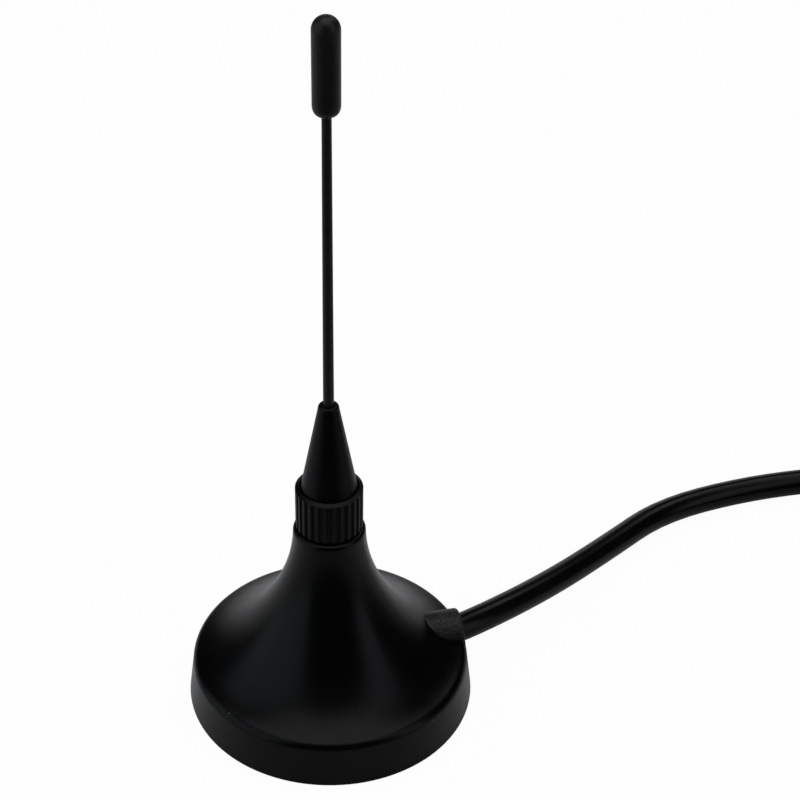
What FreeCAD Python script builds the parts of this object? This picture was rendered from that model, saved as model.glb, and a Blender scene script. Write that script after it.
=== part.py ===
import FreeCAD
import Part
import math
import os

# Magnetic mount antenna: a flared base with a magnet under it, a screw-in whip and a thin
# coaxial lead with a threaded plug. Millimetres, +Z up along the whip, origin under the
# middle of the base, +X towards the lead.

# Base housing, a moulded shell like the bell of a trumpet
base_radius = 15.0
skirt_height = 4.18
skirt_draft = 7.05
shoulder_radius = 1.0
flare_foot_angle = 20.0
flare_foot_pull = 4.0
neck_pull = 8.25
neck_lean = 1.2
neck_radius = 3.69
neck_top = 21.67
neck_rim_round = 0.45
foot_edge_round = 0.12
shell_wall = 1.5
cavity_top_pull = 3.5
cavity_top_lean = 24.0

# Stack under the housing: pad, magnet, ground plate, each a step narrower
rim_width = 1.4
seat_step = 0.6
seat_clearance = 0.05
pad_thickness = 0.5
magnet_thickness = 2.0
plate_thickness = 0.5
magnet_chamfer = 0.2

# Cable boss on the flare
boss_wall = 0.6
boss_azimuth = 11.5
boss_edge_round = 0.35
boss_foot = 1.6
cable_radius = 1.5
cable_lift = 0.65
bore_clearance = 0.1
mouth_flare = 0.25
mouth_depth = 1.2
exit_lead = 1.2

# Brass insert in the neck
insert_recess = 0.35
insert_length = 7.9
insert_wall = 0.6
insert_flange_width = 0.7
insert_flange_thickness = 0.8
insert_tail_radius = 1.2
insert_tail_length = 1.6

# Screw thread between whip and base, held as plain cylinders
thread_radius = 2.0
thread_clearance = 0.05
thread_length = 5.5
thread_pitch = 0.7

# Whip: stud, ribbed grip with its cone, wire and moulded sheath
grip_gap = 0.08
stud_flange_width = 0.55
stud_flange_thickness = 0.7
stud_head_radius = 2.1
stud_head_length = 3.6
stud_socket_depth = 2.8
stud_running_gap = 0.05
stud_tip_chamfer = 0.5
collar_radius = 3.41
collar_height = 4.75
collar_foot_chamfer = 0.3
rib_count = 26
rib_depth = 0.26
rib_share = 0.5
rib_crown = 0.05
lip_radius = 3.0
lip_height = 0.2
crease_depth = 0.22
cone_base_radius = 2.86
cone_top_wall = 0.5
cone_length = 10.05
cone_lip_round = 0.32
sheath_wall = 0.155
sheath_taper = 0.08
sheath_insertion = 3.2
sheath_fit = 0.01
whip_length = 30.9
wire_radius = 0.3
wire_fit = 0.02
tip_radius = 1.3
tip_length = 9.25
tip_foot_rise = 0.95
tip_foot_fillet = 0.3
wire_tip_cover = 1.6

# Lead inside the base
jacket_inset = 6.4
stop_wall = 0.5
stop_length = 2.0
stop_setback = 0.6
dielectric_radius = 0.75
dielectric_length = 2.1
conductor_radius = 0.25
conductor_fit = 0.05
braid_radius = 0.45
braid_lead = 1.0
braid_reach = 1.2
braid_spread = 0.7
solder_radius = 1.1
solder_height = 0.8

# Lead outside: tube, coil, tie and tail
coil_centre_x = 84.0
coil_centre_y = 10.0
coil_mean_radius = 18.0
coil_columns = 4
coil_layers = 2
turn_pitch = 3.1
coil_edge_round = 1.4
tie_width = 4.0
tie_thickness = 0.4
tie_clearance = 0.05
tie_corner = 0.85
tie_azimuth = 215.0
twist_length = 8.0
twist_width = 1.4
twist_height = 0.9
twist_round = 0.3
bend_share = 0.45
tail_spare = 0.1

# Plug on the lead, laid with its axis along -Y
nut_across_flats = 8.0
nut_length = 7.2
nut_chamfer = 0.45
nut_shelf = 0.4
nut_lip_length = 1.0
plug_running_gap = 0.1
floor_gap = 0.05
ferrule_wall = 0.45
ferrule_length = 7.5
ferrule_overlap = 1.5
ferrule_fit = 0.02
shrink_wall = 0.35
shrink_overlap = 2.8
shrink_rear_gap = 0.4
stem_gap = 0.1
body_flange_radius = 3.1
body_flange_length = 1.5
body_front_length = 3.6
body_face_wall = 0.28
body_face_length = 1.0
body_barrel_step = 0.17
ring_groove_depth = 0.2
ring_thickness = 0.5
ring_reach = 0.15
ring_slit = 40.0
gasket_thickness = 0.6
insulator_radius = 2.0
insulator_backing = 0.5
pin_radius = 0.63
pin_tip_radius = 0.46
pin_tip_length = 2.4
pin_tip_chamfer = 0.2
pin_tail_length = 3.0

# Worked out from the sizes above
stack_top = pad_thickness + magnet_thickness + plate_thickness
cable_axis = stack_top + cable_lift + cable_radius
pad_seat = base_radius - rim_width
magnet_seat = pad_seat - seat_step
plate_seat = magnet_seat - seat_step
cavity_foot = plate_seat - seat_step
jacket_end = cavity_foot - jacket_inset
dielectric_end = jacket_end - dielectric_length
lead_start = jacket_end + stop_setback + stop_length / 2
insert_top = neck_top - insert_recess
insert_seat = insert_top - insert_length
insert_hole_radius = thread_radius
insert_radius = thread_radius + insert_wall
insert_flange_radius = insert_radius + insert_flange_width
insert_flange_foot = insert_seat - insert_flange_thickness
insert_tail_foot = insert_flange_foot - insert_tail_length
stud_flange_radius = thread_radius + stud_flange_width
sheath_neck_radius = wire_radius + sheath_wall
sheath_foot_radius = sheath_neck_radius + sheath_taper
cone_top_radius = sheath_foot_radius + cone_top_wall
grip_foot = neck_top + grip_gap
stud_head_top = grip_foot + stud_flange_thickness + stud_head_length
collar_top = grip_foot + collar_height
lip_top = collar_top + lip_height
cone_foot = lip_top - crease_depth
cone_top = cone_foot + cone_length
tip_foot = cone_top + whip_length
tip_top = tip_foot + tip_length
bore_radius = cable_radius + bore_clearance
boss_radius = bore_radius + boss_wall
stop_outer_radius = cable_radius + stop_wall
mouth_distance = base_radius - cable_axis * math.tan(math.radians(skirt_draft))
coil_half_width = coil_columns * turn_pitch / 2 + 0.5 * cable_radius
coil_inner_radius = coil_mean_radius - coil_half_width
coil_outer_radius = coil_mean_radius + coil_half_width
coil_foot = tie_thickness + tie_clearance
coil_top = coil_foot + coil_layers * turn_pitch
turn_start_radius = coil_mean_radius + coil_columns * turn_pitch / 2
first_layer = coil_foot + turn_pitch / 2
last_layer = coil_foot + (coil_layers - 0.5) * turn_pitch
tail_run = (ferrule_overlap + shrink_overlap + tail_spare) / (1 - bend_share)
nut_corner_radius = nut_across_flats / math.sqrt(3)
plug_axis = nut_corner_radius + floor_gap
ferrule_radius = cable_radius + ferrule_fit + ferrule_wall
stem_length = ferrule_length - ferrule_overlap
body_front = stem_length + body_flange_length
stem_bore_radius = dielectric_radius + stem_gap
body_face_radius = insulator_radius + body_face_wall
body_barrel_radius = body_face_radius + body_barrel_step
nut_lip_radius = body_barrel_radius + plug_running_gap
nut_bore_radius = nut_lip_radius + nut_shelf
nut_foot = body_front + plug_running_gap
face_plane = body_front + body_front_length


def vec(x, y, z):
    return FreeCAD.Vector(x, y, z)


def at(r, z):
    return vec(r, 0, z)


def line(a, b):
    return Part.LineSegment(a, b).toShape()


def chain(points):
    return [line(a, b) for a, b in zip(points, points[1:])]


def arc_about(centre, radius, start_deg, end_deg):
    middle_deg = (start_deg + end_deg) / 2
    spots = []
    for angle in (start_deg, middle_deg, end_deg):
        turn = math.radians(angle)
        spots.append(at(centre.x + radius * math.cos(turn), centre.z + radius * math.sin(turn)))
    return Part.Arc(*spots).toShape()


def bezier(*poles):
    curve = Part.BezierCurve()
    curve.setPoles(list(poles))
    return curve.toShape()


def revolve(edges):
    face = Part.Face(Part.Wire(edges))
    return face.revolve(vec(0, 0, 0), vec(0, 0, 1), 360)


def turned(points):
    return revolve(chain(points + points[:1]))


def washer(inner, outer, z0, z1):
    ring = Part.makeCylinder(outer, z1 - z0, vec(0, 0, z0))
    if inner > 0:
        ring = ring.cut(Part.makeCylinder(inner, z1 - z0, vec(0, 0, z0)))
    return ring


def about_boss(shape):
    return shape.rotate(vec(0, 0, 0), vec(0, 0, 1), boss_azimuth)


def on_boss_axis(distance, side=0.0, height=cable_axis):
    turn = math.radians(boss_azimuth)
    x = distance * math.cos(turn) - side * math.sin(turn)
    y = distance * math.sin(turn) + side * math.cos(turn)
    return vec(x, y, height)


# Route of straight runs joined by tangent arcs, each arc as large as its runs allow
def rounded_route(points):
    edges = []
    radii = []
    last = points[0]
    for before, corner, after in zip(points, points[1:], points[2:]):
        to_before = before - corner
        to_after = after - corner
        reach = bend_share * min(to_before.Length, to_after.Length)
        half_turn = (math.pi - to_before.getAngle(to_after)) / 2
        radius = reach / math.tan(half_turn)
        first = corner + to_before.normalize() * reach
        second = corner + to_after.normalize() * reach
        inward = (to_before + to_after).normalize()
        middle = corner + inward * (radius / math.cos(half_turn) - radius)
        edges.append(line(last, first))
        edges.append(Part.Arc(first, middle, second).toShape())
        radii.append(radius)
        last = second
    edges.append(line(last, points[-1]))
    return Part.Wire(edges), radii


def tube(points, radius, name):
    path, radii = rounded_route(points)
    heading = points[1] - points[0]
    ring = Part.Wire(Part.makeCircle(radius, points[0], heading))
    solid = path.makePipeShell([ring], True, False)
    share = solid.Volume / (math.pi * radius ** 2 * path.Length)
    listed = ", ".join(f"{r:.1f}" for r in radii)
    print(f"{name}: length {path.Length:.1f} mm, volume share {share:.4f}, bend radii {listed} mm")
    return solid


# Flare between neck and shoulder, with the rounded shoulder and the drafted skirt under it
def flare_edges():
    draft = math.radians(skirt_draft)
    slope = math.radians(flare_foot_angle)
    lean = math.radians(neck_lean)
    foot = at(base_radius, 0)
    skirt_top = at(base_radius - skirt_height * math.tan(draft), skirt_height)
    centre = skirt_top - at(math.cos(draft), math.sin(draft)) * shoulder_radius
    shoulder = arc_about(centre, shoulder_radius, skirt_draft, 90 - flare_foot_angle)
    flare_foot = centre + at(math.sin(slope), math.cos(slope)) * shoulder_radius
    foot_pole = flare_foot + at(-math.cos(slope), math.sin(slope)) * flare_foot_pull
    neck = at(neck_radius, neck_top - neck_rim_round)
    neck_pole = neck + at(math.sin(lean), -math.cos(lean)) * neck_pull
    flare = bezier(flare_foot, foot_pole, neck_pole, neck)
    return [line(foot, skirt_top), shoulder, flare], flare_foot


def housing_outside():
    edges, _ = flare_edges()
    rim_centre = at(neck_radius - neck_rim_round, neck_top - neck_rim_round)
    rim = arc_about(rim_centre, neck_rim_round, 0, 90)
    close = chain([at(rim_centre.x, neck_top), at(0, neck_top), at(0, 0), at(base_radius, 0)])
    bell = revolve(edges + [rim] + close)
    foot_edge = [e for e in bell.Edges if e.BoundBox.ZMax < 1e-6 and e.BoundBox.XMax > 0.99 * base_radius]
    return bell.makeFillet(foot_edge_round, foot_edge)


def housing_cavity():
    _, flare_foot = flare_edges()
    slope = math.radians(flare_foot_angle)
    lean = math.radians(cavity_top_lean)
    inset = flare_foot.x - cavity_foot
    foot_height = flare_foot.z + inset * math.tan(slope) - shell_wall / math.cos(slope)
    foot = at(cavity_foot, foot_height)
    foot_pole = foot + at(-math.cos(slope), math.sin(slope)) * (flare_foot_pull - inset)
    top = at(insert_flange_radius + seat_clearance, insert_seat)
    top_pole = top + at(math.sin(lean), -math.cos(lean)) * cavity_top_pull
    magnet_top = pad_thickness + magnet_thickness
    below = chain(
        [
            at(0, 0),
            at(pad_seat, 0),
            at(pad_seat, pad_thickness),
            at(magnet_seat, pad_thickness),
            at(magnet_seat, magnet_top),
            at(plate_seat, magnet_top),
            at(plate_seat, stack_top),
            at(cavity_foot, stack_top),
            foot,
        ]
    )
    above = chain(
        [
            top,
            at(insert_radius, insert_seat),
            at(insert_radius, neck_top),
            at(0, neck_top),
            at(0, 0),
        ]
    )
    return revolve(below + [bezier(foot, foot_pole, top_pole, top)] + above)


# Half-round lug that carries the lead, its end in line with the drafted skirt
def cable_boss():
    crown = Part.makeCylinder(boss_radius, base_radius, vec(0, 0, cable_axis), vec(1, 0, 0))
    sides = Part.makeBox(base_radius, 2 * boss_radius, cable_axis - boss_foot, vec(0, -boss_radius, boss_foot))
    lug = crown.fuse(sides).removeSplitter()
    height = cable_axis + 2 * boss_radius
    narrowing = height * math.tan(math.radians(skirt_draft))
    lug = lug.common(Part.makeCone(base_radius, base_radius - narrowing, height))
    end_faces = [f for f in lug.Faces if isinstance(f.Surface, Part.Cone)]
    end_edges = [e for f in end_faces for e in f.Edges if e.BoundBox.ZMax > 0.5 * skirt_height]
    return lug.makeFillet(boss_edge_round, end_edges)


def cable_bore():
    start = vec(jacket_end, 0, cable_axis)
    hole = Part.makeCylinder(bore_radius, base_radius, start, vec(1, 0, 0))
    mouth_start = vec(mouth_distance - mouth_depth, 0, cable_axis)
    slope = mouth_flare / mouth_depth
    reach = 2 * mouth_depth
    mouth = Part.makeCone(bore_radius, bore_radius + slope * reach, reach, mouth_start, vec(1, 0, 0))
    return hole.fuse(mouth)


# Counterbore where the crimped stop seats, so that a pull on the lead ends at the shell
def stop_seat():
    start = vec(jacket_end, 0, cable_axis)
    depth = stop_setback + stop_length + seat_clearance
    return Part.makeCylinder(stop_outer_radius + seat_clearance, depth, start, vec(1, 0, 0))


def base_housing():
    shell = housing_outside().fuse(about_boss(cable_boss())).removeSplitter()
    shell = shell.cut(housing_cavity())
    return shell.cut(about_boss(cable_bore().fuse(stop_seat())))


def foot_pad():
    return washer(0, pad_seat - seat_clearance, 0, pad_thickness)


def magnet():
    top = pad_thickness + magnet_thickness
    disc = washer(0, magnet_seat - seat_clearance, pad_thickness, top)
    rims = [e for e in disc.Edges if len(e.Vertexes) == 1]
    return disc.makeChamfer(magnet_chamfer, rims)


def ground_plate():
    foot = pad_thickness + magnet_thickness
    return washer(0, plate_seat - seat_clearance, foot, stack_top)


def thread_insert():
    hole_foot = grip_foot - thread_length - thread_pitch
    socket_radius = conductor_radius + conductor_fit
    return turned(
        [
            at(insert_radius, insert_top),
            at(insert_hole_radius, insert_top),
            at(insert_hole_radius, hole_foot),
            at(0, hole_foot - insert_hole_radius / 2),
            at(0, insert_flange_foot),
            at(socket_radius, insert_flange_foot),
            at(socket_radius, insert_tail_foot),
            at(insert_tail_radius, insert_tail_foot),
            at(insert_tail_radius, insert_flange_foot),
            at(insert_flange_radius, insert_flange_foot),
            at(insert_flange_radius, insert_seat),
            at(insert_radius, insert_seat),
        ]
    )


# The stripped end of the lead: crimped stop, dielectric, wire to the insert, braid to the plate
def cable_stop():
    start = on_boss_axis(jacket_end + stop_setback)
    heading = on_boss_axis(1) - on_boss_axis(0)
    ring = Part.makeCylinder(stop_outer_radius, stop_length, start, heading)
    return ring.cut(Part.makeCylinder(cable_radius, stop_length, start, heading))


def cable_dielectric():
    heading = on_boss_axis(1) - on_boss_axis(0)
    start = on_boss_axis(dielectric_end)
    return Part.makeCylinder(dielectric_radius, dielectric_length, start, heading)


def centre_conductor():
    top = insert_flange_foot - conductor_fit
    points = [on_boss_axis(dielectric_end), vec(0, 0, cable_axis), vec(0, 0, top)]
    return tube(points, conductor_radius, "centre conductor")


def braid_points():
    side = -(dielectric_radius + braid_radius)
    low = stack_top + braid_radius
    return [
        on_boss_axis(jacket_end, side),
        on_boss_axis(jacket_end - braid_lead, side),
        on_boss_axis(jacket_end - 2 * braid_lead, side - braid_spread, low),
        on_boss_axis(jacket_end - 2 * braid_lead - braid_reach, side - 2 * braid_spread, low),
    ]


def cable_braid():
    return tube(braid_points(), braid_radius, "braid")


def solder_joints():
    at_insert = turned(
        [
            at(conductor_radius, insert_tail_foot),
            at(solder_radius, insert_tail_foot),
            at(conductor_radius + conductor_fit, insert_tail_foot - solder_height),
            at(conductor_radius, insert_tail_foot - solder_height),
        ]
    )
    spot = braid_points()[-1]
    dome_radius = (solder_radius ** 2 + solder_height ** 2) / (2 * solder_height)
    centre = vec(spot.x, spot.y, stack_top + solder_height - dome_radius)
    dome = Part.makeSphere(dome_radius, centre)
    corner = vec(spot.x - dome_radius, spot.y - dome_radius, stack_top)
    above = Part.makeBox(2 * dome_radius, 2 * dome_radius, dome_radius, corner)
    return Part.makeCompound([at_insert, dome.common(above)])


# Whip
def threaded_stud():
    socket_foot = stud_head_top - stud_socket_depth
    socket_radius = wire_radius + stud_running_gap
    screw_radius = thread_radius - thread_clearance
    flange_top = grip_foot + stud_flange_thickness
    screw_foot = grip_foot - thread_length
    return turned(
        [
            at(0, screw_foot),
            at(screw_radius - stud_tip_chamfer, screw_foot),
            at(screw_radius, screw_foot + stud_tip_chamfer),
            at(screw_radius, grip_foot),
            at(stud_flange_radius, grip_foot),
            at(stud_flange_radius, flange_top),
            at(stud_head_radius, flange_top),
            at(stud_head_radius, stud_head_top),
            at(socket_radius, stud_head_top),
            at(socket_radius, socket_foot),
            at(0, socket_foot),
        ]
    )


# One ring of ribs: round crests with hollow grooves between them
def ribbed_outline():
    edges = []
    pitch = 2 * math.pi / rib_count

    def spot(radius, angle):
        return vec(radius * math.cos(angle), radius * math.sin(angle), grip_foot)

    for index in range(rib_count):
        middle = index * pitch
        crest = rib_share * pitch / 2
        groove = middle + pitch / 2
        shoulder = collar_radius - rib_crown
        start = spot(shoulder, middle - crest)
        end = spot(shoulder, middle + crest)
        following = spot(shoulder, middle + pitch - crest)
        edges.append(Part.Arc(start, spot(collar_radius, middle), end).toShape())
        edges.append(Part.Arc(end, spot(collar_radius - rib_depth, groove), following).toShape())
    return Part.Wire(edges)


def grip_bore():
    flange_gap = stud_flange_radius + stud_running_gap
    head_gap = stud_head_radius + stud_running_gap
    flange_roof = grip_foot + stud_flange_thickness + stud_running_gap
    head_roof = stud_head_top + stud_running_gap
    sheath_foot = cone_top - sheath_insertion
    sheath_gap = sheath_foot_radius + sheath_fit
    wire_gap = wire_radius + wire_fit
    return turned(
        [
            at(0, grip_foot),
            at(flange_gap, grip_foot),
            at(flange_gap, flange_roof),
            at(head_gap, flange_roof),
            at(head_gap, head_roof),
            at(wire_gap, head_roof),
            at(wire_gap, sheath_foot),
            at(sheath_gap, sheath_foot),
            at(sheath_gap, cone_top),
            at(0, cone_top),
        ]
    )


def whip_grip():
    ribs = Part.Face(ribbed_outline()).extrude(vec(0, 0, collar_height))
    collar = ribs.common(
        turned(
            [
                at(0, grip_foot),
                at(collar_radius - collar_foot_chamfer, grip_foot),
                at(collar_radius, grip_foot + collar_foot_chamfer),
                at(collar_radius, collar_top),
                at(0, collar_top),
            ]
        )
    )
    round_centre = at(cone_top_radius - cone_lip_round, cone_top - cone_lip_round)
    lip_round = arc_about(round_centre, cone_lip_round, 0, 90)
    outline = chain(
        [
            at(round_centre.x, cone_top),
            at(0, cone_top),
            at(0, collar_top),
            at(collar_radius, collar_top),
            at(lip_radius, lip_top),
            at(cone_base_radius, cone_foot),
            at(cone_top_radius, round_centre.z),
        ]
    )
    cone = revolve(outline + [lip_round])
    return collar.fuse(cone).cut(grip_bore())


def whip_wire():
    foot = stud_head_top - stud_socket_depth + stud_running_gap
    return washer(0, wire_radius, foot, tip_top - wire_tip_cover)


def whip_sheath():
    foot = cone_top - sheath_insertion
    wire_end = tip_top - wire_tip_cover
    neck = at(sheath_neck_radius, tip_foot - tip_foot_fillet)
    fillet_middle = at(sheath_neck_radius + 0.29 * tip_foot_fillet, tip_foot - 0.29 * tip_foot_fillet)
    fillet_end = at(sheath_neck_radius + tip_foot_fillet, tip_foot)
    fillet = Part.Arc(neck, fillet_middle, fillet_end).toShape()
    shoulder = at(tip_radius, tip_foot + tip_foot_rise)
    swell = bezier(
        fillet_end,
        at((fillet_end.x + tip_radius) / 2, tip_foot),
        at(tip_radius, tip_foot + 0.4 * tip_foot_rise),
        shoulder,
    )
    dome_foot = at(tip_radius, tip_top - tip_radius)
    dome = arc_about(at(0, dome_foot.z), tip_radius, 0, 90)
    inside = chain(
        [
            at(0, tip_top),
            at(0, wire_end),
            at(wire_radius, wire_end),
            at(wire_radius, foot),
            at(sheath_foot_radius, foot),
            at(sheath_foot_radius, cone_top),
            neck,
        ]
    )
    return revolve([fillet, swell, line(shoulder, dome_foot), dome] + inside)


# The lead outside the base: out of the boss, down to the floor, round to the coil
def cable_route():
    return [
        on_boss_axis(lead_start),
        on_boss_axis(mouth_distance + exit_lead),
        vec(22.0, 8.8, 4.1),
        vec(29.0, 15.8, 2.6),
        vec(37.5, 24.0, 1.6),
        vec(48.5, 30.2, 1.5),
        vec(61.0, 33.2, 1.5),
        vec(73.0, 34.4, 1.75),
        vec(coil_centre_x, coil_centre_y + turn_start_radius, first_layer),
    ]


def antenna_cable():
    heading = on_boss_axis(1) - on_boss_axis(0)
    stub = Part.makeCylinder(cable_radius, lead_start - jacket_end, on_boss_axis(jacket_end), heading)
    return stub.fuse(tube(cable_route(), cable_radius, "lead")).removeSplitter()


def cable_coil():
    section = Part.makeBox(
        2 * coil_half_width, 1, coil_top - coil_foot, vec(coil_inner_radius, -0.5, coil_foot)
    )
    face = [f for f in section.Faces if f.CenterOfMass.y > 0.4][0]
    face.translate(vec(0, -0.5, 0))
    ring = face.revolve(vec(0, 0, 0), vec(0, 0, 1), 360)
    ring = ring.makeFillet(coil_edge_round, ring.Edges)
    return ring.translate(vec(coil_centre_x, coil_centre_y, 0))


# Soft wire tie: a band round the bundle, with its ends twisted on top
def cable_tie():
    chord = math.sqrt(coil_inner_radius ** 2 - (tie_width / 2) ** 2)
    inside_x0 = chord - tie_clearance
    inside_x1 = coil_outer_radius + tie_clearance
    inside_z0 = tie_thickness
    inside_z1 = coil_top + tie_clearance
    wide = inside_x1 - inside_x0
    high = inside_z1 - inside_z0
    grow = 2 * tie_thickness
    outer = Part.makeBox(
        wide + grow, tie_width, high + grow, vec(inside_x0 - tie_thickness, -tie_width / 2, 0)
    )
    inner = Part.makeBox(wide, tie_width, high, vec(inside_x0, -tie_width / 2, inside_z0))
    outer = rounded_along_y(outer, tie_corner + tie_thickness)
    inner = rounded_along_y(inner, tie_corner)
    band = outer.cut(inner)
    top = inside_z1 + tie_thickness
    corner = vec(coil_mean_radius - twist_length / 2, -twist_width / 2, top - tie_thickness / 2)
    twist = Part.makeBox(twist_length, twist_width, twist_height, corner)
    crown = [e for e in twist.Edges if e.BoundBox.ZMin > top]
    twist = twist.makeFillet(twist_round, crown)
    tie = band.fuse(twist).removeSplitter()
    tie.rotate(vec(0, 0, 0), vec(0, 0, 1), tie_azimuth)
    return tie.translate(vec(coil_centre_x, coil_centre_y, 0))


def rounded_along_y(box, radius):
    edges = [e for e in box.Edges if abs(e.tangentAt(e.FirstParameter).y) > 0.9]
    return box.makeFillet(radius, edges)


# The last turn leaves the coil a quarter turn on, and runs level into the plug
def tail_route():
    leave_radius = turn_start_radius + turn_pitch / 4
    start = vec(coil_centre_x + leave_radius, coil_centre_y, last_layer)
    bend = vec(start.x + 0.25, start.y - tail_run, plug_axis)
    end = vec(bend.x, bend.y - tail_run, plug_axis)
    return [start, bend, end]


def cable_tail():
    return tube(tail_route(), cable_radius, "tail")


def onto_plug(shape):
    shape.rotate(vec(0, 0, 0), vec(1, 0, 0), 90)
    return shape.translate(tail_route()[-1])


# Plug pieces, turned about +Z from the end of the lead at 0 to the mating face
def heat_shrink():
    inner_rear = cable_radius
    inner_front = ferrule_radius
    rear = -ferrule_overlap - shrink_overlap
    step = -ferrule_overlap
    front = stem_length - shrink_rear_gap
    return turned(
        [
            at(inner_rear, rear),
            at(inner_rear + shrink_wall, rear),
            at(inner_rear + shrink_wall, step - shrink_wall),
            at(inner_front + shrink_wall, step),
            at(inner_front + shrink_wall, front),
            at(inner_front, front),
            at(inner_front, step),
            at(inner_rear, step),
        ]
    )


def crimp_ferrule():
    return washer(cable_radius + ferrule_fit, ferrule_radius, -ferrule_overlap, stem_length)


def groove_foot():
    return nut_foot + nut_lip_length + plug_running_gap


def connector_body():
    bore_foot = body_front - body_flange_length + insulator_backing
    groove_radius = body_barrel_radius - ring_groove_depth
    groove_top = groove_foot() + ring_thickness + plug_running_gap
    face_foot = face_plane - body_face_length
    return turned(
        [
            at(stem_bore_radius, 0),
            at(cable_radius, 0),
            at(cable_radius, stem_length),
            at(body_flange_radius, stem_length),
            at(body_flange_radius, body_front),
            at(body_barrel_radius, body_front),
            at(body_barrel_radius, groove_foot()),
            at(groove_radius, groove_foot()),
            at(groove_radius, groove_top),
            at(body_barrel_radius, groove_top),
            at(body_barrel_radius, face_foot),
            at(body_face_radius, face_foot),
            at(body_face_radius, face_plane),
            at(insulator_radius, face_plane),
            at(insulator_radius, bore_foot),
            at(stem_bore_radius, bore_foot),
        ]
    )


def retaining_ring():
    inner = body_barrel_radius - ring_groove_depth + plug_running_gap / 2
    outer = nut_lip_radius + ring_reach
    foot = groove_foot() + plug_running_gap / 2
    top = foot + ring_thickness
    corners = [at(inner, foot), at(outer, foot), at(outer, top), at(inner, top), at(inner, foot)]
    section = Part.Face(Part.Wire(chain(corners)))
    return section.revolve(vec(0, 0, 0), vec(0, 0, 1), 360 - ring_slit)


def plug_gasket():
    foot = groove_foot() + ring_thickness + 3 * plug_running_gap
    outer = nut_bore_radius - plug_running_gap
    return washer(body_barrel_radius, outer, foot, foot + gasket_thickness)


def plug_insulator():
    foot = body_front - body_flange_length + insulator_backing
    return washer(pin_radius, insulator_radius, foot, face_plane)


def centre_pin():
    foot = body_front - body_flange_length + insulator_backing - pin_tail_length
    tip = face_plane + pin_tip_length
    return turned(
        [
            at(0, foot),
            at(pin_radius, foot),
            at(pin_radius, face_plane),
            at(pin_tip_radius, face_plane),
            at(pin_tip_radius, tip - pin_tip_chamfer),
            at(pin_tip_radius - pin_tip_chamfer, tip),
            at(0, tip),
        ]
    )


def plug_dielectric():
    end = body_front - body_flange_length + insulator_backing - pin_tail_length
    return washer(0, dielectric_radius, 0, end)


def coupling_nut():
    corners = []
    for index in range(6):
        angle = math.radians(60 * index + 30)
        corner = vec(math.cos(angle), math.sin(angle), 0) * nut_corner_radius
        corners.append(corner + vec(0, 0, nut_foot))
    hexagon = Part.Face(Part.makePolygon(corners + corners[:1]))
    prism = hexagon.extrude(vec(0, 0, nut_length))
    top = nut_foot + nut_length
    face_radius = nut_across_flats / 2 - 0.1 * nut_chamfer
    full_radius = nut_corner_radius + nut_chamfer
    trim = turned(
        [
            at(0, nut_foot),
            at(face_radius, nut_foot),
            at(full_radius, nut_foot + nut_chamfer),
            at(full_radius, top - nut_chamfer),
            at(face_radius, top),
            at(0, top),
        ]
    )
    lip_top_face = nut_foot + nut_lip_length
    bore = turned(
        [
            at(0, nut_foot),
            at(nut_lip_radius, nut_foot),
            at(nut_lip_radius, lip_top_face),
            at(nut_bore_radius, lip_top_face),
            at(nut_bore_radius, top),
            at(0, top),
        ]
    )
    return prism.common(trim).cut(bore)


pieces = {
    "base_housing": base_housing,
    "foot_pad": foot_pad,
    "magnet": magnet,
    "ground_plate": ground_plate,
    "thread_insert": thread_insert,
    "cable_stop": cable_stop,
    "cable_dielectric": cable_dielectric,
    "centre_conductor": centre_conductor,
    "cable_braid": cable_braid,
    "solder_joints": solder_joints,
    "threaded_stud": threaded_stud,
    "whip_grip": whip_grip,
    "whip_wire": whip_wire,
    "whip_sheath": whip_sheath,
    "antenna_cable": antenna_cable,
    "cable_coil": cable_coil,
    "cable_tie": cable_tie,
    "cable_tail": cable_tail,
}
plug_pieces = {
    "heat_shrink": heat_shrink,
    "crimp_ferrule": crimp_ferrule,
    "connector_body": connector_body,
    "retaining_ring": retaining_ring,
    "plug_gasket": plug_gasket,
    "plug_insulator": plug_insulator,
    "centre_pin": centre_pin,
    "plug_dielectric": plug_dielectric,
    "coupling_nut": coupling_nut,
}

os.makedirs("parts", exist_ok=True)
for name, make in pieces.items():
    make().exportStep(f"parts/{name}.step")
for name, make in plug_pieces.items():
    onto_plug(make()).exportStep(f"parts/{name}.step")
print(f"{len(pieces) + len(plug_pieces)} pieces, {tip_top:.2f} mm tall")
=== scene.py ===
import math

import bmesh
import bpy
from mathutils import Matrix, Vector


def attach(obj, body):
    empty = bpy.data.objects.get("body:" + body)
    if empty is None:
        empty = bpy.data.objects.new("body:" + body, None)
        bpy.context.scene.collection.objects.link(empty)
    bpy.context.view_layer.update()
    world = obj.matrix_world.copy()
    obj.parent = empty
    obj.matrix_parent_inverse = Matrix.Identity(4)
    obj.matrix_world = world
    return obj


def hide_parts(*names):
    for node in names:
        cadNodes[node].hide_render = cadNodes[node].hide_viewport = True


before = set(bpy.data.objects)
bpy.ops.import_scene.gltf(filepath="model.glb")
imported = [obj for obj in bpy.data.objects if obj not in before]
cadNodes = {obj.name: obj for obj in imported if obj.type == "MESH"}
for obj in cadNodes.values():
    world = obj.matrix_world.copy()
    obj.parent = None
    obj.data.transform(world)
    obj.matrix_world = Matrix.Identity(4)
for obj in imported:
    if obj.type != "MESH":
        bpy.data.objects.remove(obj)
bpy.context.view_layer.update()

mm = 0.001
print("frame loaded:", len(cadNodes), "nodes")


# Small helpers for node trees and meshes

def startMaterial(name, sockets):
    material = bpy.data.materials.new(name)
    material.use_nodes = True
    tree = material.node_tree
    shader = tree.nodes["Principled BSDF"]
    for socket, value in sockets.items():
        shader.inputs[socket].default_value = value
    return material, tree, shader


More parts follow.
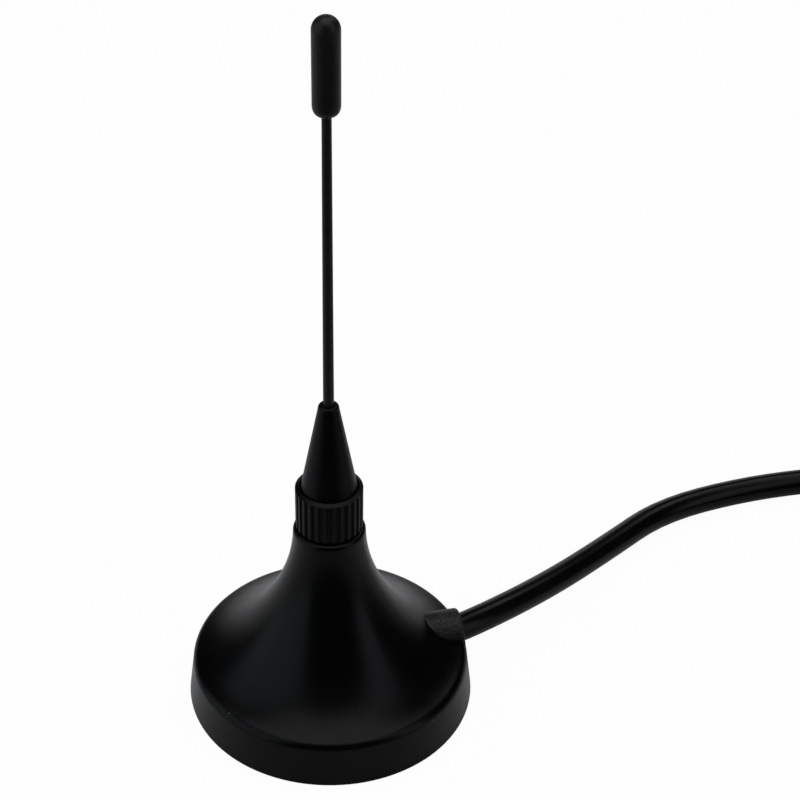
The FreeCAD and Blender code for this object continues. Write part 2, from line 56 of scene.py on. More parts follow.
def objectSpot(tree, stretch=(1, 1, 1)):
    coords = tree.nodes.new("ShaderNodeTexCoord")
    mapping = tree.nodes.new("ShaderNodeMapping")
    mapping.inputs["Scale"].default_value = stretch
    tree.links.new(coords.outputs["Object"], mapping.inputs["Vector"])
    return mapping.outputs["Vector"]


def noiseOn(tree, spot, scale, detail, roughness=0.5):
    noise = tree.nodes.new("ShaderNodeTexNoise")
    noise.inputs["Scale"].default_value = scale
    noise.inputs["Detail"].default_value = detail
    noise.inputs["Roughness"].default_value = roughness
    tree.links.new(spot, noise.inputs["Vector"])
    return noise.outputs["Fac"]


def cellsOn(tree, spot, scale):
    cells = tree.nodes.new("ShaderNodeTexVoronoi")
    cells.inputs["Scale"].default_value = scale
    tree.links.new(spot, cells.inputs["Vector"])
    return cells.outputs["Distance"]


def spread(tree, value, low, high, fromLow=0.0, fromHigh=1.0):
    remap = tree.nodes.new("ShaderNodeMapRange")
    remap.inputs["From Min"].default_value = fromLow
    remap.inputs["From Max"].default_value = fromHigh
    remap.inputs["To Min"].default_value = low
    remap.inputs["To Max"].default_value = high
    tree.links.new(value, remap.inputs["Value"])
    return remap.outputs["Result"]


def combine(tree, operation, first, second):
    both = tree.nodes.new("ShaderNodeMath")
    both.operation = operation
    tree.links.new(first, both.inputs[0])
    tree.links.new(second, both.inputs[1])
    return both.outputs[0]


def tint(tree, value, dark, light, darkAt=0.3, lightAt=0.7):
    ramp = tree.nodes.new("ShaderNodeValToRGB")
    ramp.color_ramp.elements[0].position = darkAt
    ramp.color_ramp.elements[0].color = (*dark, 1)
    ramp.color_ramp.elements[1].position = lightAt
    ramp.color_ramp.elements[1].color = (*light, 1)
    tree.links.new(value, ramp.inputs["Fac"])
    return ramp.outputs["Color"]


def blendColour(tree, share, first, second):
    mix = tree.nodes.new("ShaderNodeMix")
    mix.data_type = "RGBA"
    tree.links.new(share, mix.inputs["Factor"])
    for socket, colour in (("A", first), ("B", second)):
        if isinstance(colour, tuple):
            mix.inputs[socket].default_value = (*colour, 1)
        else:
            tree.links.new(colour, mix.inputs[socket])
    return mix.outputs["Result"]


def bumpFrom(tree, shader, height, depth, strength):
    bump = tree.nodes.new("ShaderNodeBump")
    bump.inputs["Strength"].default_value = strength
    bump.inputs["Distance"].default_value = depth
    tree.links.new(height, bump.inputs["Height"])
    tree.links.new(bump.outputs["Normal"], shader.inputs["Normal"])


def newPiece(bm, name, material, body, smoothDeg):
    bmesh.ops.remove_doubles(bm, verts=bm.verts, dist=2e-7)
    bmesh.ops.recalc_face_normals(bm, faces=bm.faces)
    for face in bm.faces:
        face.smooth = True
    for edge in bm.edges:
        if len(edge.link_faces) == 2 and edge.calc_face_angle(0) > math.radians(smoothDeg):
            edge.smooth = False
    mesh = bpy.data.meshes.new(name)
    bm.to_mesh(mesh)
    bm.free()
    mesh.materials.append(material)
    piece = bpy.data.objects.new(name, mesh)
    bpy.context.scene.collection.objects.link(piece)
    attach(piece, body)
    return piece


# Plain finishes: clouds in the colour, wear in the roughness and marks in the bump. Each of the three
# is a noise, given by its scale and detail

blackPlastic = {
    "sockets": {"Specular IOR Level": 0.075},
    "dark": (0.0002, 0.0002, 0.0002),
    "light": (0.0006, 0.0006, 0.0006),
}
milkyPlastic = {
    "sockets": {"Subsurface Weight": 0.05, "Subsurface Scale": 0.0005},
    "cloud": (500, 3),
    "wear": (900, 2),
    "rough": (0.35, 0.5),
    "marks": (3500, 1),
    "depth": 0.000008,
    "strength": 0.3,
}
bareMetal = {
    "sockets": {"Metallic": 1.0},
    "cloud": (380, 4),  # tarnish
    "wear": (1100, 3),
    "marks": (5000, 2),  # from the lathe or from drawing, where they are stretched
    "depth": 0.000006,
    "strength": 0.35,
}
plainFinishes = {
    "gripPlastic": {
        **blackPlastic,
        "cloud": (420, 3),
        "wear": (900, 3),
        "rough": (0.33, 0.43),
        "marks": (9000, 1),
        "depth": 0.000006,
        "strength": 0.35,
    },
    "sheathRubber": {
        "sockets": {"Specular IOR Level": 0.12},
        "dark": (0.0036, 0.0036, 0.0037),
        "light": (0.0056, 0.0056, 0.0057),
        "cloud": (600, 3),
        "wear": (1500, 2),
        "rough": (0.32, 0.44),
        "marks": (6000, 1),
        "stretch": (1, 1, 0.05),  # faint lines along the whip
        "depth": 0.000006,
        "strength": 0.4,
    },
    "leadJacket": {
        "sockets": {"Specular IOR Level": 0.08},
        "dark": (0.0006, 0.0006, 0.0006),
        "light": (0.0014, 0.0014, 0.0014),
        "cloud": (350, 3),
        "wear": (500, 3),
        "rough": (0.20, 0.28),
        "marks": (1800, 2),
        "depth": 0.000008,
        "strength": 0.25,
    },
    "tiePlastic": {
        "sockets": {"Specular IOR Level": 0.3},
        "dark": (0.006, 0.006, 0.006),
        "light": (0.010, 0.010, 0.010),
        "cloud": (500, 2),
        "wear": (1200, 2),
        "rough": (0.28, 0.42),
        "marks": (2500, 2),
        "depth": 0.00001,
        "strength": 0.3,
    },
    "shrinkSleeve": {
        "sockets": {"Specular IOR Level": 0.22},
        "dark": (0.005, 0.005, 0.005),
        "light": (0.009, 0.009, 0.009),
        "cloud": (450, 3),
        "wear": (800, 3),
        "rough": (0.38, 0.55),
        "marks": (1300, 3),
        "depth": 0.00003,
        "strength": 0.4,
    },
    "padVinyl": {
        "sockets": {"Specular IOR Level": 0.2},
        "dark": (0.010, 0.010, 0.011),
        "light": (0.018, 0.018, 0.019),
        "cloud": (300, 4),
        "wear": (500, 2),
        "rough": (0.55, 0.75),
        "pebbles": 2200,
        "depth": 0.00004,
        "strength": 0.6,
    },
    "dielectricWhite": {
        **milkyPlastic,
        "dark": (0.70, 0.70, 0.67),
        "light": (0.80, 0.80, 0.77),
    },
    "insulatorWhite": {
        **milkyPlastic,
        "dark": (0.78, 0.78, 0.76),
        "light": (0.86, 0.86, 0.84),
    },
    "gasketSilicone": {
        **milkyPlastic,
        "dark": (0.50, 0.18, 0.12),
        "light": (0.58, 0.22, 0.15),
    },
    "magnetNickel": {
        **bareMetal,
        "dark": (0.60, 0.59, 0.56),
        "light": (0.70, 0.69, 0.66),
        "rough": (0.22, 0.34),
    },
    "plateSteel": {
        **bareMetal,
        "dark": (0.50, 0.50, 0.50),
        "light": (0.60, 0.60, 0.61),
        "rough": (0.30, 0.45),
        "stretch": (0.1, 1, 1),
    },
    "insertBrass": {
        **bareMetal,
        "dark": (0.62, 0.46, 0.20),
        "light": (0.74, 0.57, 0.28),
        "rough": (0.24, 0.36),
        "stretch": (0.1, 0.1, 1),
    },
    "stopMetal": {
        **bareMetal,
        "dark": (0.56, 0.55, 0.52),
        "light": (0.66, 0.65, 0.62),
        "rough": (0.25, 0.38),
        "stretch": (1, 0.1, 0.1),
    },
    "solderTin": {
        **bareMetal,
        "dark": (0.52, 0.52, 0.54),
        "light": (0.64, 0.64, 0.65),
        "rough": (0.16, 0.28),
        "marks": (1200, 2),
        "depth": 0.00002,
    },
    "whipSteel": {
        **bareMetal,
        "dark": (0.42, 0.42, 0.43),
        "light": (0.54, 0.54, 0.55),
        "rough": (0.25, 0.38),
        "stretch": (1, 1, 0.05),
    },
    "plugGold": {
        **bareMetal,
        "dark": (0.80, 0.57, 0.22),
        "light": (0.90, 0.68, 0.30),
        "rough": (0.16, 0.26),
        "stretch": (0.15, 1, 0.15),
    },
    "ringBronze": {
        **bareMetal,
        "dark": (0.55, 0.33, 0.16),
        "light": (0.66, 0.42, 0.22),
        "rough": (0.25, 0.38),
        "stretch": (1, 0.15, 1),
    },
    "bareCopper": {
        **bareMetal,
        "dark": (0.62, 0.30, 0.17),
        "light": (0.74, 0.40, 0.25),
        "rough": (0.22, 0.34),
        "stretch": (1, 1, 0.1),
    },
}


def makePlain(name, look):
    material, tree, shader = startMaterial(name, look["sockets"])
    spot = objectSpot(tree)
    colour = tint(tree, noiseOn(tree, spot, *look["cloud"]), look["dark"], look["light"])
    tree.links.new(colour, shader.inputs["Base Color"])
    rough = spread(tree, noiseOn(tree, spot, *look["wear"]), *look["rough"])
    tree.links.new(rough, shader.inputs["Roughness"])
    if "pebbles" in look:
        height = cellsOn(tree, spot, look["pebbles"])
    else:
        marked = objectSpot(tree, look.get("stretch", (1, 1, 1)))
        height = noiseOn(tree, marked, *look["marks"])
    bumpFrom(tree, shader, height, look["depth"], look["strength"])
    return material


# The housing has fine mould grain, a few dust specks and a coarser grain on the crown of its cable boss,
# whose upper side is painted grey as a painted highlight where the light falls

housingLook = {
    **blackPlastic,
    "cloud": (260, 3),
    "wear": (700, 4),
    "rough": (0.25, 0.34),
    "grain": (7500, 2, 0.6),  # spark-eroded, about 0.13 mm
    "depth": 0.000012,
    "strength": 0.55,
    "dust": (0.05, 0.05, 0.05),
    "dustScale": 420,
    "dustSize": (0.0225, 0.045),
    "dustPatches": (900, 0),
    "dustRare": (0.60, 0.64),
    "bossAzimuthDeg": 11.5,
    "bossAxis": 5.15 * mm,
    "bossCrown": (2.22 * mm, 2.30 * mm),  # out from the boss's axis
    "bossFrom": (8.0 * mm, 8.6 * mm),  # out from the middle of the base
    # painted highlight: the boss crown is painted grey only above this rise over the boss's axis, over
    # its real coarser grain
    "bossPaintedLight": (0.3 * mm, 1.2 * mm),  # up from the boss's axis
    "bossDark": (0.0028, 0.0028, 0.0028),
    "bossGrainPaintedLit": (0.0200, 0.0200, 0.0182),
    "bossGrain": (5500, 3, 0.7),
    "bossContrast": (0.40, 0.64),
    "bossRough": 0.40,
}


# Mask of the boss's crown, cut to its upper side, where the colour is a painted highlight
def bossCrownPaintedLit(tree, look):
    coords = tree.nodes.new("ShaderNodeTexCoord")
    mapping = tree.nodes.new("ShaderNodeMapping")
    mapping.inputs["Location"].default_value = (0, 0, -look["bossAxis"])
    mapping.inputs["Rotation"].default_value = (0, 0, -math.radians(look["bossAzimuthDeg"]))
    tree.links.new(coords.outputs["Object"], mapping.inputs["Vector"])
    split = tree.nodes.new("ShaderNodeSeparateXYZ")
    tree.links.new(mapping.outputs["Vector"], split.inputs["Vector"])
    across = tree.nodes.new("ShaderNodeCombineXYZ")
    tree.links.new(split.outputs["Y"], across.inputs["Y"])
    tree.links.new(split.outputs["Z"], across.inputs["Z"])
    away = tree.nodes.new("ShaderNodeVectorMath")
    away.operation = "LENGTH"
    tree.links.new(across.outputs["Vector"], away.inputs[0])
    crown = spread(tree, away.outputs["Value"], 1, 0, *look["bossCrown"])
    outer = spread(tree, split.outputs["X"], 0, 1, *look["bossFrom"])
    paintedLitTop = spread(tree, split.outputs["Z"], 0, 1, *look["bossPaintedLight"])
    return combine(tree, "MULTIPLY", combine(tree, "MULTIPLY", crown, outer), paintedLitTop)


def makeHousing(name, look):
    material, tree, shader = startMaterial(name, look["sockets"])
    spot = objectSpot(tree)
    colour = tint(tree, noiseOn(tree, spot, *look["cloud"]), look["dark"], look["light"])
    near = spread(tree, cellsOn(tree, spot, look["dustScale"]), 1, 0, *look["dustSize"])
    rare = spread(tree, noiseOn(tree, spot, *look["dustPatches"]), 0, 1, *look["dustRare"])
    colour = blendColour(tree, combine(tree, "MULTIPLY", near, rare), colour, look["dust"])
    # the grey grain on the boss crown's upper side is a painted highlight; its higher roughness is the
    # real coarser finish
    crown = bossCrownPaintedLit(tree, look)
    grit = noiseOn(tree, spot, *look["bossGrain"])
    coarse = tint(tree, grit, look["bossDark"], look["bossGrainPaintedLit"], *look["bossContrast"])
    tree.links.new(blendColour(tree, crown, colour, coarse), shader.inputs["Base Color"])
    rough = spread(tree, noiseOn(tree, spot, *look["wear"]), *look["rough"])
    mixRough = tree.nodes.new("ShaderNodeMix")
    mixRough.inputs["B"].default_value = look["bossRough"]
    tree.links.new(crown, mixRough.inputs["Factor"])
    tree.links.new(rough, mixRough.inputs["A"])
    tree.links.new(mixRough.outputs["Result"], shader.inputs["Roughness"])
    grain = noiseOn(tree, spot, *look["grain"])
    bumpFrom(tree, shader, grain, look["depth"], look["strength"])
    return material


# The braid's strands cross at two slants

braidLook = {
    "sockets": {"Metallic": 1.0},
    "strands": 2600,
    "slantDeg": 35,
    "dark": (0.30, 0.14, 0.08),
    "light": (0.75, 0.45, 0.30),
    "contrast": (0.2, 0.8),
    "wear": (900, 2),
    "rough": (0.3, 0.45),
    "depth": 0.00005,
    "strength": 0.8,
}


def makeBraid(name, look):
    material, tree, shader = startMaterial(name, look["sockets"])
    spot = objectSpot(tree)
    waves = []
    for lean in (1, -1):
        turned = tree.nodes.new("ShaderNodeMapping")
        turned.inputs["Rotation"].default_value = (0, 0, lean * math.radians(look["slantDeg"]))
        tree.links.new(spot, turned.inputs["Vector"])
        wave = tree.nodes.new("ShaderNodeTexWave")
        wave.inputs["Scale"].default_value = look["strands"]
        tree.links.new(turned.outputs["Vector"], wave.inputs["Vector"])
        waves.append(wave.outputs["Fac"])
    over = combine(tree, "MAXIMUM", *waves)
    colour = tint(tree, over, look["dark"], look["light"], *look["contrast"])
    tree.links.new(colour, shader.inputs["Base Color"])
    rough = spread(tree, noiseOn(tree, spot, *look["wear"]), *look["rough"])
    tree.links.new(rough, shader.inputs["Roughness"])
    bumpFrom(tree, shader, over, look["depth"], look["strength"])
    return material


finishes = {name: makePlain(name, look) for name, look in plainFinishes.items()}
finishes["housingPlastic"] = makeHousing("housingPlastic", housingLook)
finishes["copperBraid"] = makeBraid("copperBraid", braidLook)
print("materials made:", len(finishes))

nodeFinishes = {
    "base_housing": "housingPlastic",
    "foot_pad": "padVinyl",
    "magnet": "magnetNickel",
    "ground_plate": "plateSteel",
    "thread_insert": "insertBrass",
    "cable_stop": "stopMetal",
    "cable_dielectric": "dielectricWhite",
    "plug_dielectric": "dielectricWhite",
    "centre_conductor": "bareCopper",
    "cable_braid": "copperBraid",
    "solder_joints": "solderTin",
    "threaded_stud": "insertBrass",
    "whip_grip": "gripPlastic",
    "whip_wire": "whipSteel",
    "whip_sheath": "sheathRubber",
    "antenna_cable": "leadJacket",
    "cable_coil": "leadJacket",
    "cable_tail": "leadJacket",
    "cable_tie": "tiePlastic",
    "heat_shrink": "shrinkSleeve",
    "crimp_ferrule": "plugGold",
    "connector_body": "plugGold",
    "centre_pin": "plugGold",
    "coupling_nut": "plugGold",
    "retaining_ring": "ringBronze",
    "plug_gasket": "gasketSilicone",
    "plug_insulator": "insulatorWhite",
}
for node, finish in nodeFinishes.items():
    mesh = cadNodes[node].data
    mesh.materials.clear()
    mesh.materials.append(finishes[finish])
print("solids dressed:", len(nodeFinishes))


# The lead: out of the boss, along the floor, wound in two layers and into the plug

leadShape = {
    "diameter": 3.0 * mm,
    "exit": (14.075 * mm, 2.864 * mm, 5.15 * mm),
    "route": [  # in millimetres, like all that follows
        (6.859, 1.396, 5.15),
        (11.34, 1.37, 5.15),
        (17.43, 5.40, 4.8),
        (24.76, 12.06, 3.5),
        (31.96, 19.80, 2.1),
        (39.25, 27.27, 1.5),
        (50.0, 31.4, 1.5),
        (61.0, 33.4, 1.5),
        (73.0, 34.1, 1.75),
    ],
    "coilCentre": (84.0, 10.0),
    "pointsPerTurn": 24,
    "startAngleDeg": 90.0,
    "outerRadius": 24.2,
    "innerRadius": 11.8,
    "endRadius": 24.975,
    "lowTurns": 4.0,
    "climbTurns": 0.5,
    "highTurns": 3.75,
    "lowHeight": 2.0,
    "highHeight": 5.1,
    "tail": [(109.225, 2.0, 4.669), (109.225, -6.0, 4.669)],
}


def coilPoints(shape):
    perTurn = shape["pointsPerTurn"]
    climbStart = shape["lowTurns"]
    climbEnd = climbStart + shape["climbTurns"]
    total = climbEnd + shape["highTurns"]
    swell = 1 / math.cos(math.pi / perTurn)  # the spline runs inside its points
    points = []
    for step in range(round(total * perTurn) + 1):
        turns = step / perTurn
        inward = min(turns / climbStart, 1.0)
        climbed = min(max((turns - climbStart) / shape["climbTurns"], 0.0), 1.0)
        outward = max((turns - climbEnd) / shape["highTurns"], 0.0)
        radius = shape["outerRadius"] + inward * (shape["innerRadius"] - shape["outerRadius"])
        radius += outward * (shape["endRadius"] - shape["innerRadius"])
        height = shape["lowHeight"] + climbed * (shape["highHeight"] - shape["lowHeight"])
        angle = math.radians(shape["startAngleDeg"] - 360 * turns)
        x = shape["coilCentre"][0] + swell * radius * math.cos(angle)
        y = shape["coilCentre"][1] + swell * radius * math.sin(angle)
        points.append((x, y, height))
    return points


def makeLead(shape):
    points = shape["route"] + coilPoints(shape) + shape["tail"]
    curve = bpy.data.curves.new("antenna_lead", "CURVE")
    curve.dimensions = "3D"
    curve.bevel_depth = shape["diameter"] / 2
    curve.bevel_resolution = 6
    curve.resolution_u = 5
    curve.use_fill_caps = True
    spline = curve.splines.new("NURBS")
    spline.points.add(len(points) - 1)
    for point, place in zip(spline.points, points):
        point.co = (*(Vector(place) * mm), 1)
    spline.order_u = 3
    spline.use_endpoint_u = True
    curve.materials.append(finishes["leadJacket"])
    lead = bpy.data.objects.new("antenna_lead", curve)
    bpy.context.scene.collection.objects.link(lead)
    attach(lead, "base")
    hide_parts("antenna_cable", "cable_coil", "cable_tail")
    return lead


lead = makeLead(leadShape)
print("lead laid")


# Twist tie round the coil: a flat ribbon with a wire down its middle, its ends twisted together

tieShape = {
    "azimuthDeg": 215.0,
    "inside": (10.87, 24.95),  # from the coil's middle outwards
    "heights": (0.42, 6.70),
    "thickness": 0.28,
    "width": 4.0,
    "corner": 1.2,
    "cornerSteps": 6,
    "cuts": 9,
    "ridge": 0.10,  # how far the wire lifts the ribbon
    "ridgeWidth": 0.55,
    "twistAt": 18.0,
    "twistHeight": 7.38,
    "twistSize": (8.0, 1.15, 0.62),
    "twistTurns": 2.5,
    "twistCorner": 0.2,
    "twistSteps": 3,
    "twistCuts": 39,
}


def edgesAlong(bm, axis):
    return [e for e in bm.edges if abs((e.verts[0].co - e.verts[1].co)[axis]) > 0.1]


def roundAndCut(bm, axis, corner, steps, cuts):
    bmesh.ops.bevel(
        bm,
        geom=edgesAlong(bm, axis),
        offset=corner,
        affect="EDGES",
        segments=steps,
        profile=0.5,
        material=-1,
    )
    bmesh.ops.subdivide_edges(bm, edges=edgesAlong(bm, axis), cuts=cuts)


def makeTwist(shape):
    bm = bmesh.new()
    bmesh.ops.create_cube(bm, size=1.0)
    bmesh.ops.scale(bm, verts=bm.verts, vec=shape["twistSize"])
    roundAndCut(bm, 0, shape["twistCorner"], shape["twistSteps"], shape["twistCuts"])
    for vert in bm.verts:
        angle = 2 * math.pi * shape["twistTurns"] * vert.co.x / shape["twistSize"][0]
        vert.co = Matrix.Rotation(angle, 3, "X") @ vert.co
    bmesh.ops.translate(bm, verts=bm.verts, vec=(shape["twistAt"], 0, shape["twistHeight"]))
    mesh = bpy.data.meshes.new("twist")
    bm.to_mesh(mesh)
    bm.free()
    return mesh


def makeTie(shape):
    bm = bmesh.new()
    low, high = shape["inside"]
    foot, top = shape["heights"]
    middle = Vector(((low + high) / 2, 0, (foot + top) / 2))
    bmesh.ops.create_cube(bm, size=1.0)
    bmesh.ops.scale(bm, verts=bm.verts, vec=(high - low, shape["width"], top - foot))
    bmesh.ops.translate(bm, verts=bm.verts, vec=middle)
    sides = [f for f in bm.faces if abs(f.normal.y) > 0.9]
    bmesh.ops.delete(bm, geom=sides, context="FACES_ONLY")
    roundAndCut(bm, 1, shape["corner"], shape["cornerSteps"], shape["cuts"])
    bmesh.ops.recalc_face_normals(bm, faces=bm.faces)
    bm.normal_update()
    outwards = sum(f.normal.dot(f.calc_center_median() - middle) for f in bm.faces)
    if outwards < 0:
        bmesh.ops.reverse_faces(bm, faces=bm.faces)
        bm.normal_update()
    lifts = []
    for vert in bm.verts:
        share = math.exp(-((vert.co.y / shape["ridgeWidth"]) ** 2))
        lifts.append((vert, vert.normal * shape["ridge"] * share))
    for vert, lift in lifts:
        vert.co += lift  # the wire in the middle of the ribbon
    bmesh.ops.solidify(bm, geom=bm.faces[:], thickness=-shape["thickness"])
    twist = makeTwist(shape)
    bm.from_mesh(twist)
    bpy.data.meshes.remove(twist)
    place = Matrix.Translation((*leadShape["coilCentre"], 0))
    turn = Matrix.Rotation(math.radians(shape["azimuthDeg"]), 4, "Z")
    bmesh.ops.transform(bm, matrix=Matrix.Scale(mm, 4) @ place @ turn, verts=bm.verts)
    tie = newPiece(bm, "coil_tie", finishes["tiePlastic"], "base", smoothDeg=50)
    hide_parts("cable_tie")
    return tie


tie = makeTie(tieShape)
print("tie wound")


# Plug end: turned shapes are spun about the plug's axis, which runs along -Y

plugShape = {"axis": (109.225, -6.0, 4.669)}  # x and z of the axis, y where its lengths are counted from


def spinAbout(bm, outline, closed, segments):
    verts = [bm.verts.new((radius, 0, length)) for radius, length in outline]
    edges = [bm.edges.new(pair) for pair in zip(verts, verts[1:])]
    if closed:
        edges.append(bm.edges.new((verts[-1], verts[0])))
    bmesh.ops.spin(
        bm,
        geom=verts + edges,
        cent=(0, 0, 0),
        axis=(0, 0, 1),
        angle=2 * math.pi,
        steps=segments,
        use_merge=True,
    )
    bmesh.ops.remove_doubles(bm, verts=bm.verts, dist=1e-5)


def ontoPlug(bm):
    lay = Matrix.Rotation(math.radians(90), 4, "X")  # +Z of the turned shape goes to -Y
    place = Matrix.Translation(plugShape["axis"])
    bmesh.ops.transform(bm, matrix=Matrix.Scale(mm, 4) @ place @ lay, verts=bm.verts)


def setRadius(vert, radius):
    share = radius / math.hypot(vert.co.x, vert.co.y)
    vert.co.x *= share
    vert.co.y *= share


shrinkShape = {
    "outside": [
        (1.58, -4.30),
        (1.72, -4.28),
        (1.80, -4.15),
        (1.84, -3.80),
        (1.85, -3.00),
        (1.86, -2.20),
        (1.92, -1.90),
        (2.08, -1.60),
        (2.22, -1.35),
        (2.29, -1.10),
        (2.31, -0.70),
        (2.31, 0.00),
        (2.31, 0.55),
        (2.31, 0.75),
        (2.31, 1.50),
        (2.31, 2.60),
        (2.31, 3.70),
        (2.31, 4.45),
        (2.31, 4.65),
        (2.31, 5.10),
        (2.29, 5.45),
        (2.22, 5.57),
        (2.10, 5.60),
    ],
    "inside": [(1.99, 5.58), (1.98, -1.55), (1.52, -1.90), (1.515, -4.28)],
    "segments": 72,
    "crimp": (0.65, 4.55),  # the hexagonal crimp shows through the sleeve
    "crimpFlat": 2.17,
    "crimpOver": 2.2,  # the inside, below this radius, stays round
}


def makeShrink(shape):
    bm = bmesh.new()
    spinAbout(bm, shape["outside"] + shape["inside"], True, shape["segments"])
    first, last = shape["crimp"]
    for vert in bm.verts:
        radius = math.hypot(vert.co.x, vert.co.y)
        if first < vert.co.z < last and radius > shape["crimpOver"]:
            angle = math.atan2(vert.co.y, vert.co.x)
            off = (angle + math.pi / 6) % (math.pi / 3) - math.pi / 6
            setRadius(vert, min(radius, shape["crimpFlat"] / math.cos(off)))
    ontoPlug(bm)
    shrink = newPiece(bm, "shrink_sleeve", finishes["shrinkSleeve"], "base", smoothDeg=60)
    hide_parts("heat_shrink")
    return shrink


shrink = makeShrink(shrinkShape)
print("sleeve shrunk")


# Screw threads: one ridge wound on a core, closed at both ends

def windRidge(bm, shape, segments=48):
    start = shape["ridgeFrom"]
    verts = [bm.verts.new((radius, 0, start + length)) for radius, length in shape["ridge"]]
    loop = list(bm.faces.new(verts).edges)
    wound = bmesh.ops.spin(
        bm,
        geom=loop,
        cent=(0, 0, 0),
        axis=(0, 0, 1),
        dvec=(0, 0, shape["pitch"] / segments),
        angle=2 * math.pi * shape["turns"],
        steps=round(segments * shape["turns"]),
    )
    last = [g for g in wound["geom_last"] if isinstance(g, bmesh.types.BMEdge)]
    bmesh.ops.contextual_create(bm, geom=last)


studShape = {
    "pitch": 0.7,
    "turns": 7.0,
    "ridgeFrom": 16.33,
    "ridge": [(1.49, 0.0), (1.95, 0.27), (1.95, 0.36), (1.49, 0.63)],
    "tip": 16.25,
    "tipRadius": 1.45,  # the ridge is chamfered down to this at the tip
    "segments": 64,
    "core": [
        (0.0, 16.25),
        (1.30, 16.25),
        (1.52, 16.47),
        (1.52, 21.55),
        (1.80, 21.75),
        (2.47, 21.75),
        (2.55, 21.83),
        (2.55, 22.37),
        (2.47, 22.45),
        (2.10, 22.45),
        (2.10, 25.95),
        (2.00, 26.05),
        (0.40, 26.05),
        (0.35, 26.00),
        (0.35, 23.25),
        (0.0, 23.25),
    ],
}


def makeStud(shape):
    bm = bmesh.new()
    windRidge(bm, shape)
    for vert in bm.verts:
        most = shape["tipRadius"] + vert.co.z - shape["tip"]
        if math.hypot(vert.co.x, vert.co.y) > most > 0:
            setRadius(vert, most)
    spinAbout(bm, shape["core"], False, shape["segments"])
    bmesh.ops.scale(bm, verts=bm.verts, vec=(mm, mm, mm))
    stud = newPiece(bm, "stud_screw", finishes["insertBrass"], "whip_screw", smoothDeg=35)
    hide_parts("threaded_stud")


nutThread = {
    "pitch": 0.706,
    "turns": 3.9,
    "ridgeFrom": 11.35,
    "ridge": [(3.05, 0.0), (2.80, 0.24), (2.80, 0.36), (3.05, 0.62)],
}


def makeNutThread(shape):
    bm = bmesh.new()
    windRidge(bm, shape)
    ontoPlug(bm)
    return newPiece(bm, "nut_thread", finishes["plugGold"], "plug_nut", smoothDeg=35)


makeStud(studShape)
nutRidge = makeNutThread(nutThread)
print("threads cut")


# Floor, backdrop light and lamps

studio = {
    "floorSize": 3.0,
    "floorFront": -0.045,  # the table ends here, and the room in front of it is dark
    "floorDrop": 0.00002,
    "floorColour": (0.50, 0.50, 0.50),
    "floorLift": (0.965, 0.10),  # share of plain white, seen and reflected; the rest keeps the shadow
    "roomSeen": (0.985, 0.985, 0.985),  # as the lit floor shows, so its edge is lost
    "roomGrey": (0.40, 0.40, 0.40),  # what the room adds to matt surfaces
    "skyStops": [(0.28, 1.0), (0.50, 0.12), (0.72, 0.02)],  # how far up a reflection looks, and its grey
    "backdropEdge": (0.88, 0.97),  # how far back it looks where the white behind fades in
    "sideShare": 0.03,  # of that white, to the sides and in front
}


def seenRays(tree):
    path = tree.nodes.new("ShaderNodeLightPath")
    camera = path.outputs["Is Camera Ray"]
    seen = camera
    for ray in ("Is Glossy Ray", "Is Transmission Ray"):
        seen = combine(tree, "MAXIMUM", seen, path.outputs[ray])
    return seen, camera


def makeFloor():
    bm = bmesh.new()
    bmesh.ops.create_grid(bm, x_segments=1, y_segments=1, size=studio["floorSize"])
    reach = studio["floorSize"] + studio["floorFront"]
    bmesh.ops.translate(bm, verts=bm.verts, vec=(0, reach, -studio["floorDrop"]))
    mesh = bpy.data.meshes.new("floor")
    bm.to_mesh(mesh)
    bm.free()
    floor = bpy.data.objects.new("floor", mesh)
    bpy.context.scene.collection.objects.link(floor)
    material = bpy.data.materials.new("paleFloor")
    material.use_nodes = True
    tree = material.node_tree
    tree.nodes.remove(tree.nodes["Principled BSDF"])
    matte = tree.nodes.new("ShaderNodeBsdfDiffuse")
    matte.inputs["Color"].default_value = (*studio["floorColour"], 1)
    glow = tree.nodes.new("ShaderNodeEmission")
    seen, camera = seenRays(tree)
    shown, mirrored = studio["floorLift"]
    share = combine(tree, "MULTIPLY", seen, spread(tree, camera, mirrored, shown))
    mix = tree.nodes.new("ShaderNodeMixShader")
    tree.links.new(share, mix.inputs["Fac"])
    tree.links.new(matte.outputs[0], mix.inputs[1])
    tree.links.new(glow.outputs[0], mix.inputs[2])
    tree.links.new(mix.outputs[0], tree.nodes["Material Output"].inputs["Surface"])
    mesh.materials.append(material)


def makeRoom():
    world = bpy.data.worlds.new("studioRoom")
    bpy.context.scene.world = world
    world.use_nodes = True
    tree = world.node_tree
    coords = tree.nodes.new("ShaderNodeTexCoord")
    split = tree.nodes.new("ShaderNodeSeparateXYZ")
    tree.links.new(coords.outputs["Generated"], split.inputs["Vector"])
    ramp = tree.nodes.new("ShaderNodeValToRGB")
    stops = studio["skyStops"]
    ramp.color_ramp.elements.new(stops[1][0])
    for element, (height, grey) in zip(ramp.color_ramp.elements, stops):
        element.position = height
        element.color = (grey, grey, grey, 1)
    tree.links.new(split.outputs["Z"], ramp.inputs["Fac"])
    behind = spread(tree, split.outputs["Y"], studio["sideShare"], 1.0, *studio["backdropEdge"])
    glow = tree.nodes.new("ShaderNodeVectorMath")
    glow.operation = "MULTIPLY"
    tree.links.new(ramp.outputs["Color"], glow.inputs[0])
    tree.links.new(behind, glow.inputs[1])
    seen, camera = seenRays(tree)
    reflected = blendColour(tree, seen, studio["roomGrey"], glow.outputs["Vector"])
    direct = blendColour(tree, camera, reflected, studio["roomSeen"])
    tree.links.new(direct, tree.nodes["Background"].inputs["Color"])


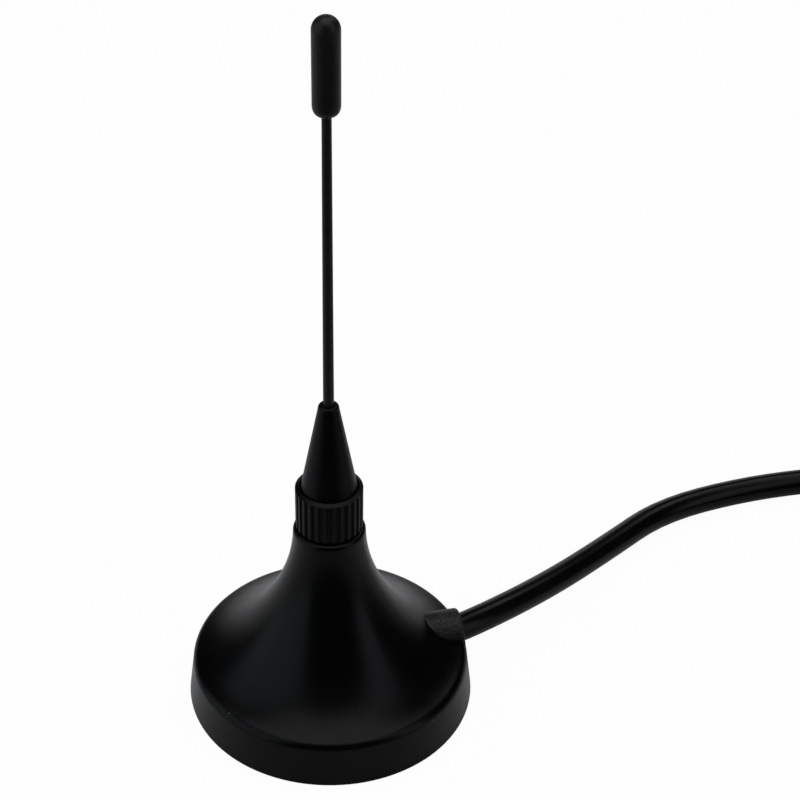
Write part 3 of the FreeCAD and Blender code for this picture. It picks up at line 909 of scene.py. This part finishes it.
lamps = {
    "leftBox": {
        "way": (-0.891, -0.256, 0.375),
        "far": 0.5,
        "size": (0.64, 0.58),
        "power": 1.6,
        "tint": (0.90, 1.0, 1.18),  # the side lights are a little cool
    },
    "rightBox": {
        "way": (0.779, -0.432, 0.454),
        "far": 0.5,
        "size": (0.20, 0.55),
        "power": 0.57,
        "tint": (0.97, 1.0, 1.13),
    },
    "topBox": {
        "way": (0.0, 0.0, 1.0),
        "far": 0.6,
        "size": (0.62, 0.60),
        "power": 3.1,
        "tint": (1.0, 1.0, 1.0),
    },
    "stripBox": {
        "way": (0.4465, 0.5321, 0.7193),
        "far": 0.5,
        "size": (0.20, 0.11),
        "power": 0.21,
        "tint": (1.0, 1.0, 1.0),
    },
}


def makeLamp(name, setting):
    light = bpy.data.lights.new(name, "AREA")
    light.shape = "RECTANGLE"
    light.size, light.size_y = setting["size"]
    light.energy = setting["power"]
    light.color = setting["tint"]
    lamp = bpy.data.objects.new(name, light)
    way = Vector(setting["way"]).normalized()
    lamp.location = way * setting["far"]
    lamp.rotation_euler = way.to_track_quat("Z", "Y").to_euler()
    bpy.context.scene.collection.objects.link(lamp)


makeFloor()
makeRoom()
for lampName, lampSetting in lamps.items():
    makeLamp(lampName, lampSetting)
print("studio set")


# Camera at the photograph's place

photoView = {
    "place": (0.0, -0.150, 0.1426),
    "pitchDeg": 35.13,
    "rollDeg": -0.4,
    "focalPixels": 1908.0,
    "imagePixels": 800,
    "axisPixel": 328.5,  # column where the optical axis meets the image
    "sensor": 36.0,
    "nearest": 0.01,
}


def makeCamera(view):
    data = bpy.data.cameras.new("photoCamera")
    data.sensor_width = view["sensor"]
    data.lens = view["focalPixels"] / view["imagePixels"] * view["sensor"]
    data.shift_x = 0.5 - view["axisPixel"] / view["imagePixels"]
    data.clip_start = view["nearest"]
    camera = bpy.data.objects.new("photoCamera", data)
    tilt = Matrix.Rotation(math.radians(90 - view["pitchDeg"]), 4, "X")
    roll = Matrix.Rotation(math.radians(view["rollDeg"]), 4, "Z")
    camera.matrix_world = Matrix.Translation(view["place"]) @ tilt @ roll
    bpy.context.scene.collection.objects.link(camera)
    bpy.context.scene.camera = camera


makeCamera(photoView)
bpy.context.scene.view_settings.view_transform = "Standard"
print("camera placed")
